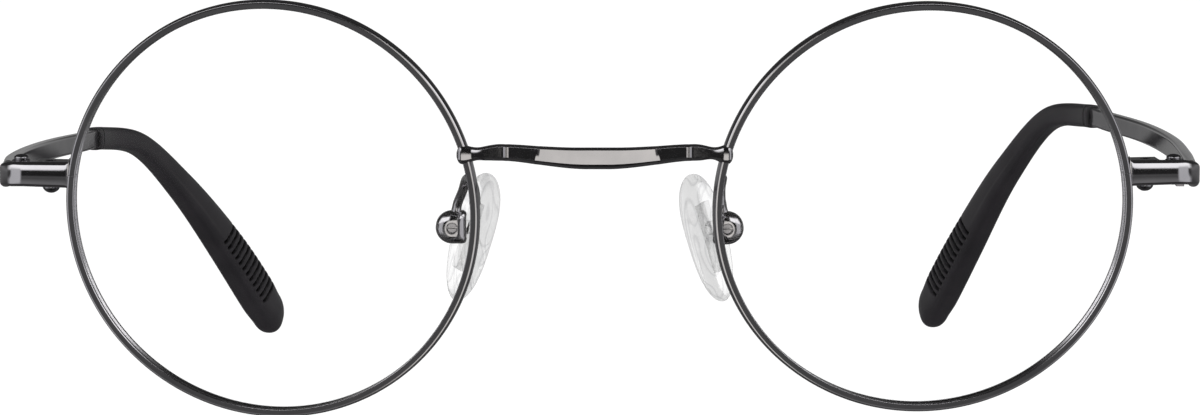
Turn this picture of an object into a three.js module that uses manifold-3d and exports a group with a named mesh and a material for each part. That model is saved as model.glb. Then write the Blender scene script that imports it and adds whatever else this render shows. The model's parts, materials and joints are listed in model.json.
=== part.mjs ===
// Round wire eyeglasses: a full-rim metal frame, open, standing on its rims and temple tips.
//
// Millimetres, +Z up. The wearer looks along -Y, so the wearer's left is +X. Every piece is drawn for the
// left side, and the right side is the same group mirrored. The origin is the middle of the bridge's flat front.
//
// Three frames are used:
//   front   the plane of the two eyes: X across, Y back, Z up the front, origin midway between the eyes
//   eye     the front frame moved to one eye's centre and turned back by the wrap angle
//   temple  level with the table, origin at the middle of one hinge

import * as THREE from 'three';
import { mergeVertices } from 'three/addons/utils/BufferGeometryUtils.js';
import Module from 'manifold-3d';

const wasm = await Module();
wasm.setup();

// ---- driving dimensions ----

const EYE_X = 33.95; // middle of the front to an eye's centre
const EYE_Z = -0.18;
const EYE_RADIUS = 21.4; // to the middle of the eyewire's front face
// The two eyewires were bent by hand: each one's shift outward and up from the common place, the share by which
// it is longer one way and shorter across it, and the direction of its long way, from the outer side upward.
const EYE_SET = {
  left: { x: 0.1, z: 0.2, oval: 0.0156, ovalAngle: THREE.MathUtils.degToRad(-2) },
  right: { x: 0, z: 0, oval: 0.0074, ovalAngle: THREE.MathUtils.degToRad(50) },
};
const LEAN = THREE.MathUtils.degToRad(6.5); // top of the front forward
const WRAP = THREE.MathUtils.degToRad(8); // outer side of each eye back
const EYE_STEPS = 60; // facets round an eye, an even number

const WIRE = { depth: 1.7, face: 0.31, chamfer: 0.53, crown: 0.58, shoulder: 0.6, groove: 0.37, mouth: 0.4 };
const SOLDER_GAP = 0.03; // left between soldered pieces, so that each stays its own solid
const RUNNING_GAP = 0.06; // radial, between a screw and its hole

const LENS = { curve: 110, edge: 21.03, bevel: 21.4, halfBevel: 0.36, halfEdge: 0.75, centreThickness: 1.9 };

const JOIN_Z = 3.18; // height over the eye's centre where the eyewire is split and the endpiece starts
const SPLIT = 0.14; // gap between the eyewire's two ends
const BLOCK = { start: 21.7, length: 3.55, back: 2.5, height: 1.16, split: 0.24 };
const LOCK_SCREW = { x: 23.95, y: 1.4, radius: 0.5, head: 0.92, headHeight: 0.86 };

const ENDPIECE = { start: 21.35, front: -0.85, thickness: 1.15, corner: 2.6, outerX: 63.25 };
const HINGE = { x: 61.0, y: 8.45, z: 2.55, barrel: 0.95, barrelHeight: 0.95, pitch: 1.0, screw: 0.48 };
const LEAF = { thickness: 0.85, height: 1.9, length: 7, wing: 2.2 };

const BAR = { thickness: 1.3, frontHeight: 2.35, rearHeight: 2.2, corner: 0.35 };
const BAR_X = ENDPIECE.outerX - BAR.thickness / 2 - HINGE.x; // bar's middle, out from the hinge axis
const SLEEVE_START = 79; // along the temple from the hinge
const CORE = { height: 1.5, thickness: 1.0, end: 126, gap: 0.06 };
const TIP_END = { x: -17.6, y: 122.6, z: -22.4 }; // middle of the tip's last section, from the hinge
const SLEEVE = { height: 2.75, thickness: 2.35 };
const PADDLE = { height: 5.5, thickness: 3.5, softness: 2.9, points: 16, endRound: 2.4 };
const RIDGES = { count: 12, pitch: 1.15, depth: 0.28, before: 4.2 };
// The temples too: the rise of the bar towards the back, its extra outward bow, how far it stands inside the
// common line at the sleeve, at the bend and at the end, and how far its end is below it.
const TEMPLE_SET = {
  left: { rise: THREE.MathUtils.degToRad(2.8), bow: 0.5, sleeve: 1.0, bend: 1.5, end: 0, drop: -0.1 },
  right: { rise: THREE.MathUtils.degToRad(0.8), bow: 0, sleeve: 0, bend: 0.5, end: 0.8, drop: 0.62 },
};

const BRIDGE = { leftEnd: 14.05, rightEnd: 14.6, z: 5.9, front: -5.0, endFront: -4.42, thickness: 1.25, bendIn: 8.4, bendOut: 11.6 };

const PAD = { length: 14, width: 7.8, thickness: 2.4, splay: 28, tilt: 16 };
const PAD_CENTRE = new THREE.Vector3(13.45, 6.9, -4.15);
const INSERT = { length: 7.4, width: 2.2, thickness: 0.6 };
const BOX = { x: 15.3, y: 4.1, z: -2.7, radius: 1.75, nasal: 1.55, depth: 2.5, slot: 1.2, slotHeight: 2.5 };
const PAD_SCREW = { radius: 0.48, head: 0.72, headHeight: 0.4, inset: 0.05 };
const ARM_RADIUS = 0.44;
const PAD_SET = { left: { x: -1.65, z: -0.1 }, right: { x: 0, z: 0 } }; // each pad's adjustment by its arm

// ---- finishes ----

const finish = (color, roughness, metalness, more = {}) => () =>
  new THREE.MeshStandardMaterial({ color, roughness, metalness, ...more });
const gunmetal = finish(0x5d5a60, 0.16, 1);
const hingeMetal = finish(0x6a676c, 0.25, 1);
const screwSteel = finish(0x8b898d, 0.2, 1);
const clearLens = finish(0xf4f7f7, 0.03, 0, { transparent: true, opacity: 0.15 });
const silicone = finish(0xe4e6e7, 0.2, 0, { transparent: true, opacity: 0.6 });
const insertPlate = finish(0xc9cacc, 0.3, 0.6);
const tipPlastic = finish(0x29272a, 0.42, 0);

// ---- geometry tools ----

const vec = (x, y, z) => new THREE.Vector3(x, y, z);

function toSolid(geometry) {
  const bare = geometry.index ? geometry.toNonIndexed() : geometry.clone();
  bare.deleteAttribute('normal');
  bare.deleteAttribute('uv');
  const merged = mergeVertices(bare, 1e-4);
  const triVerts = new Uint32Array(merged.index.array);
  const vertProperties = merged.attributes.position.array;
  return new wasm.Manifold(new wasm.Mesh({ numProp: 3, vertProperties, triVerts }));
}

function toGeometry(solid) {
  const { numProp, numVert, vertProperties, triVerts } = solid.getMesh();
  const positions = new Float32Array(numVert * 3);
  for (let i = 0; i < numVert; i++) {
    positions.set(vertProperties.subarray(i * numProp, i * numProp + 3), i * 3);
  }
  return new THREE.BufferGeometry()
    .setAttribute('position', new THREE.BufferAttribute(positions, 3))
    .setIndex(new THREE.BufferAttribute(triVerts, 1));
}

const join = (first, ...others) =>
  toGeometry(others.reduce((solid, g) => solid.add(toSolid(g)), toSolid(first)));

const cut = (first, ...cutters) =>
  toGeometry(cutters.reduce((solid, g) => solid.subtract(toSolid(g)), toSolid(first)));

// The same solid on the other side of the middle plane, with its faces still pointing out.
function mirrored(geometry) {
  const faces = Array.from(geometry.index.array);
  for (let i = 0; i < faces.length; i += 3) {
    [faces[i + 1], faces[i + 2]] = [faces[i + 2], faces[i + 1]];
  }
  return geometry.clone().scale(-1, 1, 1).setIndex(faces);
}

// A closed solid through rings of the same number of points. Each ring runs counterclockwise as seen
// by someone the loft comes towards.
function loft(rings) {
  const count = rings[0].length;
  const last = rings.length - 1;
  const middle = (ring) => ring.reduce((sum, p) => sum.add(p), vec(0, 0, 0)).divideScalar(count);
  const points = [...rings.flat(), middle(rings[0]), middle(rings[last])];
  const startCentre = points.length - 2;
  const endCentre = points.length - 1;
  const faces = [];
  for (let j = 0; j < count; j++) {
    const next = (j + 1) % count;
    faces.push(startCentre, next, j);
    faces.push(endCentre, last * count + j, last * count + next);
    for (let i = 0; i < last; i++) {
      const [a, b] = [i * count + j, i * count + next];
      faces.push(a, b, a + count, b, b + count, a + count);
    }
  }
  return new THREE.BufferGeometry().setFromPoints(points).setIndex(faces);
}

// Outline of a rounded rectangle as [height, width] pairs, with three points to a corner.
function roundedOutline(height, width, corner) {
  const outline = [];
  for (let quarter = 0; quarter < 4; quarter++) {
    const signH = quarter === 0 || quarter === 3 ? 1 : -1;
    const signW = quarter < 2 ? 1 : -1;
    for (let step = 0; step < 3; step++) {
      const angle = ((quarter + step / 2) * Math.PI) / 2;
      const h = signH * (height / 2 - corner) + corner * Math.cos(angle);
      const w = signW * (width / 2 - corner) + corner * Math.sin(angle);
      outline.push([h, w]);
    }
  }
  return outline;
}

// Outline between an ellipse (power 2) and a box (high power), as [height, width] pairs.
function softOutline(height, width, power, count) {
  const bend = (value) => Math.sign(value) * Math.abs(value) ** (2 / power);
  return Array.from({ length: count }, (_, i) => {
    const angle = (i / count) * 2 * Math.PI;
    return [(height / 2) * bend(Math.cos(angle)), (width / 2) * bend(Math.sin(angle))];
  });
}

// A ring of the outline set square to the direction, with its height towards up.
function ringAt(point, direction, up, outline) {
  const side = vec(0, 0, 0).crossVectors(direction, up).normalize();
  const rise = vec(0, 0, 0).crossVectors(side, direction).normalize();
  return outline.map(([h, w]) => point.clone().addScaledVector(rise, h).addScaledVector(side, w));
}

// A solid of revolution about Z from [radius, z] pairs that start and end on the axis, going up.
function turned(profile, segments = 16) {
  const points = profile.map(([radius, z]) => new THREE.Vector2(radius, z));
  return new THREE.LatheGeometry(points, segments).rotateX(Math.PI / 2);
}

const rod = (radius, bottom, top, segments) =>
  turned([[0, bottom], [radius, bottom], [radius, top], [0, top]], segments);

const block = (sizeX, sizeY, sizeZ, x, y, z) =>
  new THREE.BoxGeometry(sizeX, sizeY, sizeZ).translate(x, y, z);

function mesh(name, geometry, material) {
  const made = new THREE.Mesh(geometry, material());
  made.name = name;
  return made;
}

// ---- eye: eyewire and lens ----

const eyeScale = (eye, angle) => 1 + eye.oval * Math.cos(2 * (angle - eye.ovalAngle));

// Gives something round about Y the eye's own slightly oval outline.
function ovalled(eye, geometry) {
  const position = geometry.attributes.position;
  for (let i = 0; i < position.count; i++) {
    const scale = eyeScale(eye, Math.atan2(position.getZ(i), position.getX(i)));
    position.setX(i, position.getX(i) * scale);
    position.setZ(i, position.getZ(i) * scale);
  }
  return geometry;
}

class EyeCurve extends THREE.Curve {
  constructor(eye, startAngle, endAngle) {
    super();
    this.eye = eye;
    this.startAngle = startAngle;
    this.endAngle = endAngle;
  }

  getPoint(t, target = vec(0, 0, 0)) {
    const angle = THREE.MathUtils.lerp(this.startAngle, this.endAngle, t);
    const radius = EYE_RADIUS * eyeScale(this.eye, angle);
    return target.set(radius * Math.cos(angle), 0, radius * Math.sin(angle));
  }
}

const SPLIT_ANGLE = Math.asin(JOIN_Z / EYE_RADIUS);

// A section of [forward, outward] points swept round the eye, with its two ends at the split angle.
function sweepRoundEye(eye, section, splitAngle, halfGap) {
  const shape = new THREE.Shape(section.map(([forward, outward]) => new THREE.Vector2(forward, outward)));
  const gapAngle = halfGap / EYE_RADIUS;
  const path = new EyeCurve(eye, splitAngle + gapAngle, splitAngle - gapAngle + 2 * Math.PI);
  return new THREE.ExtrudeGeometry(shape, { steps: EYE_STEPS, extrudePath: path, bevelEnabled: false });
}

function eyewireGeometry(eye) {
  const half = WIRE.depth / 2;
  const inner = -WIRE.face;
  return sweepRoundEye(
    eye,
    [
      [half, inner],
      [half, WIRE.face],
      [WIRE.shoulder, WIRE.chamfer],
      [0, WIRE.crown],
      [-WIRE.shoulder, WIRE.chamfer],
      [-half, WIRE.face],
      [-half, inner],
      [-WIRE.mouth, inner],
      [0, inner + WIRE.groove],
      [WIRE.mouth, inner],
    ],
    SPLIT_ANGLE,
    SPLIT / 2,
  );
}

// The wire's outside with the solder gap all round: what its neighbours are cut with. Its own ends meet on
// the nose side, where it has no neighbour.
function wireRoom(eye) {
  const half = WIRE.depth / 2 + SOLDER_GAP;
  const inner = -WIRE.face - SOLDER_GAP;
  const section = [
    [half, inner],
    [half, WIRE.face + SOLDER_GAP],
    [WIRE.shoulder, WIRE.chamfer + SOLDER_GAP],
    [0, WIRE.crown + SOLDER_GAP],
    [-WIRE.shoulder, WIRE.chamfer + SOLDER_GAP],
    [-half, WIRE.face + SOLDER_GAP],
    [-half, inner],
  ];
  return sweepRoundEye(eye, section, SPLIT_ANGLE + Math.PI, 0.001);
}

function lensGeometry(eye) {
  const { curve, edge, bevel, halfBevel, halfEdge, centreThickness } = LENS;
  const sag = (radius, bow) => bow - Math.sqrt(bow * bow - radius * radius);
  const frontCentre = -halfEdge - sag(edge, curve);
  const backCentre = frontCentre + centreThickness;
  const backBow = (edge * edge) / (2 * (halfEdge - backCentre)) + (halfEdge - backCentre) / 2;
  const rings = [0, 0.55, 1].map((share) => share * edge);
  const front = rings.map((radius) => [radius, frontCentre + sag(radius, curve)]);
  const back = rings.map((radius) => [radius, backCentre + sag(radius, backBow)]);
  const rim = [[edge, -halfBevel], [bevel, 0], [edge, halfBevel]];
  const profile = [...front, ...rim, ...back.reverse()].map(([radius, y]) => new THREE.Vector2(radius, y));
  return ovalled(eye, new THREE.LatheGeometry(profile, EYE_STEPS));
}

// Room for the lens in front of and behind its edge, as a plain disc.
function lensRoom(eye) {
  const depth = 4;
  const disc = new THREE.CylinderGeometry(EYE_RADIUS, EYE_RADIUS, depth, EYE_STEPS);
  return ovalled(eye, disc.translate(0, depth / 2 - LENS.halfEdge - 0.3, 0));
}

const eyeCentre = (eye) => vec(EYE_X + eye.x, 0, EYE_Z + eye.z);
const inFront = (eye, geometry) => geometry.rotateZ(WRAP).translate(...eyeCentre(eye).toArray());

// ---- rim lock: two blocks and a screw, in the eye frame ----

function lockBlock(eye, above) {
  const middle = JOIN_Z + ((above ? 1 : -1) * (BLOCK.split + BLOCK.height)) / 2;
  const front = ENDPIECE.front + ENDPIECE.thickness + SOLDER_GAP;
  const depth = BLOCK.back - front;
  const body = block(BLOCK.length, depth, BLOCK.height, BLOCK.start + BLOCK.length / 2, front + depth / 2, middle);
  const hole = rod(LOCK_SCREW.radius + RUNNING_GAP, middle - 1, middle + 1).translate(LOCK_SCREW.x, LOCK_SCREW.y, 0);
  return cut(body, wireRoom(eye), hole);
}

const LOCK_BOTTOM = JOIN_Z - BLOCK.split / 2 - BLOCK.height;

function lockScrew() {
  const { radius, head, headHeight } = LOCK_SCREW;
  const top = LOCK_BOTTOM - SOLDER_GAP;
  const tip = JOIN_Z + BLOCK.split / 2 + BLOCK.height * 0.85;
  const dome = [0, 0.35, 0.7, 1].map((share) => {
    const angle = (share * Math.PI) / 2;
    return [head * Math.sin(angle), top - 0.12 - (headHeight - 0.12) * Math.cos(angle)];
  });
  const slot = block(3, 0.28, 0.5, 0, 0, top - headHeight);
  const screw = turned([...dome, [head, top], [radius, top], [radius, tip], [0, tip]]);
  return cut(screw, slot).translate(LOCK_SCREW.x, LOCK_SCREW.y, 0);
}

// ---- endpiece: along the eye's plane, round the corner, back to the hinge; in the front frame ----

function endpiecePath(eye) {
  const halfThick = ENDPIECE.thickness / 2;
  const out = vec(Math.cos(WRAP), Math.sin(WRAP), 0);
  const back = vec(-Math.sin(WRAP), Math.cos(WRAP), 0);
  const start = eyeCentre(eye)
    .add(vec(0, 0, JOIN_Z))
    .addScaledVector(out, ENDPIECE.start * eyeScale(eye, SPLIT_ANGLE))
    .addScaledVector(back, ENDPIECE.front + halfThick);
  const finishX = ENDPIECE.outerX - BAR.thickness / 2;
  const turn = Math.PI / 2 - WRAP;
  const straight = (finishX - start.x - ENDPIECE.corner * (1 - Math.sin(WRAP))) / Math.cos(WRAP);
  const cornerStart = start.clone().addScaledVector(out, straight);
  const centre = cornerStart.clone().addScaledVector(back, ENDPIECE.corner);
  return { start, out, back, turn, straight, centre, finishX };
}

function endpieceGeometry(eye) {
  const { start, out, back, turn, straight, centre, finishX } = endpiecePath(eye);
  const up = vec(0, 0, 1);
  const rings = [];
  const addRing = (point, direction, height, thickness) => {
    rings.push(ringAt(point, direction, up, roundedOutline(height, thickness, 0.38)));
  };
  const eyeHeight = 2.68;
  const cornerHeight = 2.4;
  for (const share of [0, 0.5, 1]) {
    const height = THREE.MathUtils.lerp(eyeHeight, cornerHeight, share);
    addRing(start.clone().addScaledVector(out, straight * share), out, height, ENDPIECE.thickness);
  }
  const steps = 7;
  for (let i = 1; i <= steps; i++) {
    const angle = (turn * i) / steps;
    const point = centre
      .clone()
      .addScaledVector(out, ENDPIECE.corner * Math.sin(angle))
      .addScaledVector(back, -ENDPIECE.corner * Math.cos(angle));
    const direction = out.clone().multiplyScalar(Math.cos(angle)).addScaledVector(back, Math.sin(angle));
    const share = i / steps;
    point.setZ(THREE.MathUtils.lerp(start.z, HINGE.z, share * share));
    addRing(point, direction, cornerHeight, THREE.MathUtils.lerp(ENDPIECE.thickness, BAR.thickness, share));
  }
  addRing(vec(finishX, HINGE.y - SOLDER_GAP, HINGE.z), vec(0, 1, 0), BAR.frontHeight, BAR.thickness);
  return cut(loft(rings), inFront(eye, wireRoom(eye)));
}

// ---- hinge: a leaf with two barrels on the endpiece, a leaf with one on the temple, and a screw ----

const BARREL_BOTTOM = -1.5 * HINGE.pitch + (HINGE.pitch - HINGE.barrelHeight) / 2;
const HINGE_BORE = () => rod(HINGE.screw + RUNNING_GAP, -3, 3);
const LEAF_OUT = BAR_X - BAR.thickness / 2 - SOLDER_GAP; // the leaves' face against the bar, from the axis

function barrel(index) {
  const bottom = BARREL_BOTTOM + index * HINGE.pitch;
  return rod(HINGE.barrel, bottom, bottom + HINGE.barrelHeight);
}

// Room for a barrel of the other leaf to turn in.
function barrelRoom(index) {
  const middle = (index - 1) * HINGE.pitch;
  return rod(HINGE.barrel + 0.08, middle - HINGE.pitch / 2 - 0.025, middle + HINGE.pitch / 2 + 0.025);
}

function frontHingeGeometry() {
  const span = 3 * HINGE.pitch - 2 * (HINGE.pitch - HINGE.barrelHeight);
  const wing = block(LEAF.thickness, LEAF.wing, span, LEAF_OUT - LEAF.thickness / 2, -LEAF.wing / 2 - SOLDER_GAP, 0);
  return cut(join(barrel(0), barrel(2), wing), barrelRoom(1), HINGE_BORE());
}

function hingeScrewGeometry() {
  const top = BARREL_BOTTOM + 2 * HINGE.pitch + HINGE.barrelHeight + SOLDER_GAP;
  const bottom = BARREL_BOTTOM - 0.15;
  const head = 0.78;
  const profile = [[0, bottom], [HINGE.screw, bottom], [HINGE.screw, top], [head, top]];
  profile.push([head, top + 0.22], [head * 0.72, top + 0.45], [0, top + 0.52]);
  return cut(turned(profile), block(3, 0.26, 0.5, 0, 0, top + 0.55));
}

// ---- temple, in the temple frame ----

function templePath(set) {
  const slope = Math.tan(set.rise);
  const along = (x, y) => vec(x, y, y * slope);
  return new THREE.CatmullRomCurve3(
    [
      along(BAR_X, 0),
      along(2.35 + set.bow / 2, 12),
      along(2.85 + set.bow, 32),
      along(2.2 + set.bow / 2, 52),
      along(0.6 - set.sleeve / 2, 68),
      along(-1.0 - set.sleeve, SLEEVE_START),
      vec(-4.0 - set.bend, 88.5, 88.5 * slope - 1.2),
      vec(-8.3 - set.bend, 98.5, 55 * slope - 6.2),
      vec(-13.0 - (set.bend + set.end) / 2, 110.5, 20 * slope - 13.6 - set.drop / 2),
      vec(TIP_END.x - set.end, TIP_END.y, TIP_END.z - set.drop),
    ],
    false,
    'centripetal',
  );
}

// Rings along the temple's path, each square to it. Each entry of stations is [distance, outline].
function ringsAlong(path, stations) {
  const length = path.getLength();
  return stations.map(([distance, outline]) => {
    const t = THREE.MathUtils.clamp(distance / length, 0, 1);
    return ringAt(path.getPointAt(t), path.getTangentAt(t), vec(0, 0, 1), outline);
  });
}

const evenly = (from, to, count) =>
  Array.from({ length: count + 1 }, (_, i) => THREE.MathUtils.lerp(from, to, i / count));

// The bar's own front end is cut parallel to the hinge axis, which leans with the front.
function leanFirstRing(rings) {
  rings[0].forEach((point) => point.setY(SOLDER_GAP - point.z * Math.tan(LEAN)));
  return rings;
}

function barOutline(distance) {
  const height = THREE.MathUtils.lerp(BAR.frontHeight, BAR.rearHeight, distance / SLEEVE_START);
  return roundedOutline(height, BAR.thickness, BAR.corner);
}

function templeGeometry(path) {
  const bar = evenly(0, SLEEVE_START, 13).map((distance) => [distance, barOutline(distance)]);
  const coreOutline = roundedOutline(CORE.height, CORE.thickness, 0.3);
  const core = evenly(SLEEVE_START, CORE.end, 9).map((distance) => [distance, coreOutline]);
  return loft(leanFirstRing(ringsAlong(path, [...bar, ...core])));
}

function rearHingeGeometry(path) {
  const inward = LEAF_OUT - LEAF.thickness / 2 - BAR_X;
  const outline = roundedOutline(LEAF.height, LEAF.thickness, 0.2).map(([h, w]) => [h, w + inward]);
  const rings = ringsAlong(path, evenly(0, LEAF.length, 3).map((distance) => [distance, outline]));
  const leaf = loft(leanFirstRing(rings));
  const pin = [barrel(1), barrelRoom(0), barrelRoom(2), HINGE_BORE()].map((g) => g.rotateX(LEAN));
  return cut(join(leaf, pin[0]), ...pin.slice(1));
}

// The sleeve grows from the bar's size to a paddle with a rounded end, and has ridges on its inner face.
function tipGeometry(path) {
  const length = path.getLength();
  const outlineAt = (height, thickness, groove) =>
    softOutline(height, thickness, PADDLE.softness, PADDLE.points).map(([h, w]) => {
      const inside = w < 0 && Math.abs(h) < height * 0.46;
      return [h, inside ? w + groove : w];
    });
  const station = (distance, groove = 0) => {
    const share = (distance - SLEEVE_START) / (length - SLEEVE_START);
    const grown = THREE.MathUtils.smoothstep(share, 0.15, 0.9);
    const height = THREE.MathUtils.lerp(SLEEVE.height, PADDLE.height, grown);
    const thickness = THREE.MathUtils.lerp(SLEEVE.thickness, PADDLE.thickness, grown);
    return [distance, outlineAt(height, thickness, groove)];
  };
  const ridgesStart = length - RIDGES.before - RIDGES.count * RIDGES.pitch;
  const stations = evenly(SLEEVE_START, ridgesStart, 11).map((distance) => station(distance));
  for (let i = 0; i < RIDGES.count; i++) {
    const from = ridgesStart + i * RIDGES.pitch;
    stations.push(station(from + RIDGES.pitch * 0.55, RIDGES.depth), station(from + RIDGES.pitch));
  }
  stations.push(station(length - RIDGES.before / 2), station(length));
  const rings = ringsAlong(path, stations);
  const tail = path.getTangentAt(1);
  for (const share of [0.4, 0.75, 0.96]) {
    const round = Math.sqrt(1 - share * share);
    const outline = outlineAt(PADDLE.height * round, PADDLE.thickness * (0.25 + 0.75 * round), 0);
    const point = path.getPointAt(1).addScaledVector(tail, PADDLE.endRound * share);
    rings.push(ringAt(point, tail, vec(0, 0, 1), outline));
  }
  return cut(loft(rings), tipBore(path));
}

// Room in the sleeve for the bar's thin core.
function tipBore(path) {
  const gap = 2 * CORE.gap;
  const outline = roundedOutline(CORE.height + gap, CORE.thickness + gap, 0.3 + CORE.gap);
  const distances = [SLEEVE_START - 1, ...evenly(SLEEVE_START, CORE.end, 9), CORE.end + 0.5];
  return loft(ringsAlong(path, distances.map((distance) => [distance, outline])));
}

// ---- bridge: a bar with a flat front, stepping back to the eyewires, in the front frame ----

function bridgeGeometry() {
  const smooth = THREE.MathUtils.smoothstep;
  const rings = [];
  const stations = [2, 4, 6.4, 8.2, 9.2, 10.2, 11.2, 12.2, 13.2];
  const towardsRight = [...stations, BRIDGE.rightEnd].reverse().map((x) => -x);
  for (const x of [...towardsRight, 0, ...stations, BRIDGE.leftEnd]) {
    const away = Math.abs(x);
    const front = THREE.MathUtils.lerp(BRIDGE.front, BRIDGE.endFront, smooth(away, BRIDGE.bendIn, BRIDGE.bendOut))
      + Math.max(0, away - BRIDGE.bendOut) * Math.tan(WRAP);
    const top = BRIDGE.z + 1.02 + 0.26 * smooth(away, 2, 9.5) - 0.3 * smooth(away, 10, 12.5);
    const bottom = BRIDGE.z - 1.18 + 0.8 * smooth(away, 1, 10) - 0.28 * smooth(away, 11, 13);
    const outline = roundedOutline(top - bottom, BRIDGE.thickness, 0.32);
    const point = vec(x, front + BRIDGE.thickness / 2, (top + bottom) / 2);
    rings.push(ringAt(point, vec(1, 0, 0), vec(0, 0, 1), outline));
  }
  const cutForEye = (eye, bar) => cut(bar, inFront(eye, wireRoom(eye)), inFront(eye, lensRoom(eye)));
  const cutOnLeft = cutForEye(EYE_SET.left, loft(rings));
  return mirrored(cutForEye(EYE_SET.right, mirrored(cutOnLeft)));
}

// ---- nose pad, its insert, box, screw and arm, in the front frame ----

const padRotation = () => {
  const splay = THREE.MathUtils.degToRad(PAD.splay);
  const tilt = THREE.MathUtils.degToRad(PAD.tilt);
  const across = vec(Math.sin(splay), Math.cos(splay), 0);
  const up = vec(-Math.sin(tilt), 0, Math.cos(tilt));
  const out = vec(0, 0, 0).crossVectors(across, up).normalize();
  across.crossVectors(up, out).normalize();
  return new THREE.Matrix4().makeBasis(across, up, out);
};

// Pad axes: X from its front edge to its back edge, Y up, Z away from the nose.
const padPlace = () => padRotation().setPosition(PAD_CENTRE);

// A slice of the pad square to its length: flat towards the box, crowned towards the nose.
function padSlice(share) {
  const y = (share * PAD.length) / 2;
  const full = Math.sqrt(Math.max(0, 1 - Math.abs(share) ** 2.6));
  const half = (PAD.width / 2) * full * (1 + 0.1 * share);
  const depth = PAD.thickness * (0.35 + 0.65 * full);
  const lean = -0.35 * share * share;
  return Array.from({ length: 14 }, (_, i) => {
    const angle = (i / 14) * 2 * Math.PI;
    const z = Math.sin(angle) > 0 ? 0.32 * Math.sin(angle) * depth : 0.68 * Math.sin(angle) * depth;
    return vec(half * Math.cos(angle) + lean, y, z);
  }).reverse();
}

const insertSolid = (grow) => {
  const { length, width, thickness } = INSERT;
  return block(width + 2 * grow, length + 2 * grow, thickness + grow, 0, 0, 0.28);
};

// The neck leaves the box between its walls, then turns back into the pad's plate.
function insertNeck(grow) {
  const start = vec(BOX.x, BOX.y, BOX.z);
  const knee = start.clone().add(vec(-BOX.nasal - 0.45, 0, 0));
  const root = vec(-0.5, 0.4, 0.28).applyMatrix4(padPlace());
  const up = vec(0, 0, 1);
  const outline = roundedOutline(1.4 + 2 * grow, BOX.slot - 0.2 + 2 * grow, 0.2);
  return loft([
    ringAt(start, vec(-1, 0, 0), up, outline),
    ringAt(knee, vec(-1, 0.5, 0).normalize(), up, outline),
    ringAt(root, root.clone().sub(knee).setZ(0).normalize(), up, outline),
  ]);
}

function padGeometry() {
  const shares = [-0.985, -0.92, -0.78, -0.54, -0.2, 0.18, 0.52, 0.78, 0.92, 0.985];
  const pad = loft(shares.map(padSlice)).applyMatrix4(padPlace());
  return cut(pad, insertSolid(RUNNING_GAP).applyMatrix4(padPlace()), insertNeck(RUNNING_GAP));
}

// The insert's plate lies in the pad, and a round tab on its neck sits between the box's two walls.
function insertGeometry() {
  const plate = insertSolid(0).applyMatrix4(padPlace());
  const tab = rod(1.0, -0.5, 0.5).scale(1, 1, BOX.slot - 0.2);
  const hole = rod(PAD_SCREW.radius + RUNNING_GAP, -3, 3);
  const pin = [tab, hole].map((g) => g.rotateX(Math.PI / 2).translate(BOX.x, BOX.y, BOX.z));
  return cut(join(plate, insertNeck(0), pin[0]), pin[1]);
}

function padBoxGeometry() {
  const { radius, nasal, depth, slot, slotHeight, x, y, z } = BOX;
  const outline = new THREE.Shape();
  outline.moveTo(-nasal, -radius + 0.4);
  outline.quadraticCurveTo(-nasal, -radius, -nasal + 0.4, -radius);
  outline.lineTo(0, -radius);
  outline.absarc(0, 0, radius, -Math.PI / 2, Math.PI / 2);
  outline.lineTo(-nasal + 0.4, radius);
  outline.quadraticCurveTo(-nasal, radius, -nasal, radius - 0.4);
  const box = new THREE.ExtrudeGeometry(outline, { depth, bevelEnabled: false, curveSegments: 7 })
    .translate(0, 0, -depth / 2)
    .rotateX(Math.PI / 2);
  const mouth = block(3.2, slot, slotHeight, -0.55, 0, 0);
  const hole = rod(PAD_SCREW.radius + RUNNING_GAP, -3, 3).rotateX(Math.PI / 2);
  const headSeat = rod(PAD_SCREW.head + RUNNING_GAP, 0, 1).rotateX(Math.PI / 2);
  headSeat.translate(0, PAD_SCREW.headHeight + 2 * PAD_SCREW.inset - depth / 2, 0);
  return cut(box, mouth, hole, headSeat).translate(x, y, z);
}

function padScrewGeometry() {
  const { radius, head, headHeight, inset } = PAD_SCREW;
  const length = BOX.depth - 2 * inset;
  const profile = [[0, 0], [radius, 0], [radius, length - headHeight], [head, length - headHeight]];
  profile.push([head, length - 0.1], [head - 0.1, length], [0, length]);
  const slot = block(3, 0.22, 0.4, 0, 0, length);
  return cut(turned(profile), slot)
    .rotateX(Math.PI / 2)
    .translate(BOX.x, BOX.y + BOX.depth / 2 - inset, BOX.z);
}

// The arm is soldered to the back of the eyewire, loops back over it and comes down to the box.
function padArmGeometry(eye, set) {
  const boxTop = BOX.z + set.z + BOX.radius;
  const end = BOX.x - 0.2 + set.x;
  const path = new THREE.CatmullRomCurve3([
    vec(12.75, -1.65, 0.9),
    vec(12.8, -1.62, 2.1),
    vec(13.15 + 0.1 * set.x, -0.7, 3.0),
    vec(13.7 + 0.4 * set.x, 1.2, 2.8),
    vec(14.4 + 0.8 * set.x, 3.0, 1.4),
    vec(end, BOX.y, boxTop + 1.1),
    vec(end, BOX.y, boxTop + 2 * SOLDER_GAP),
  ]);
  const circle = new THREE.Shape().absarc(0, 0, ARM_RADIUS, 0, 2 * Math.PI);
  const settings = { steps: 16, extrudePath: path, curveSegments: 5, bevelEnabled: false };
  return cut(new THREE.ExtrudeGeometry(circle, settings), inFront(eye, wireRoom(eye)));
}

// ---- assembly ----

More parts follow.
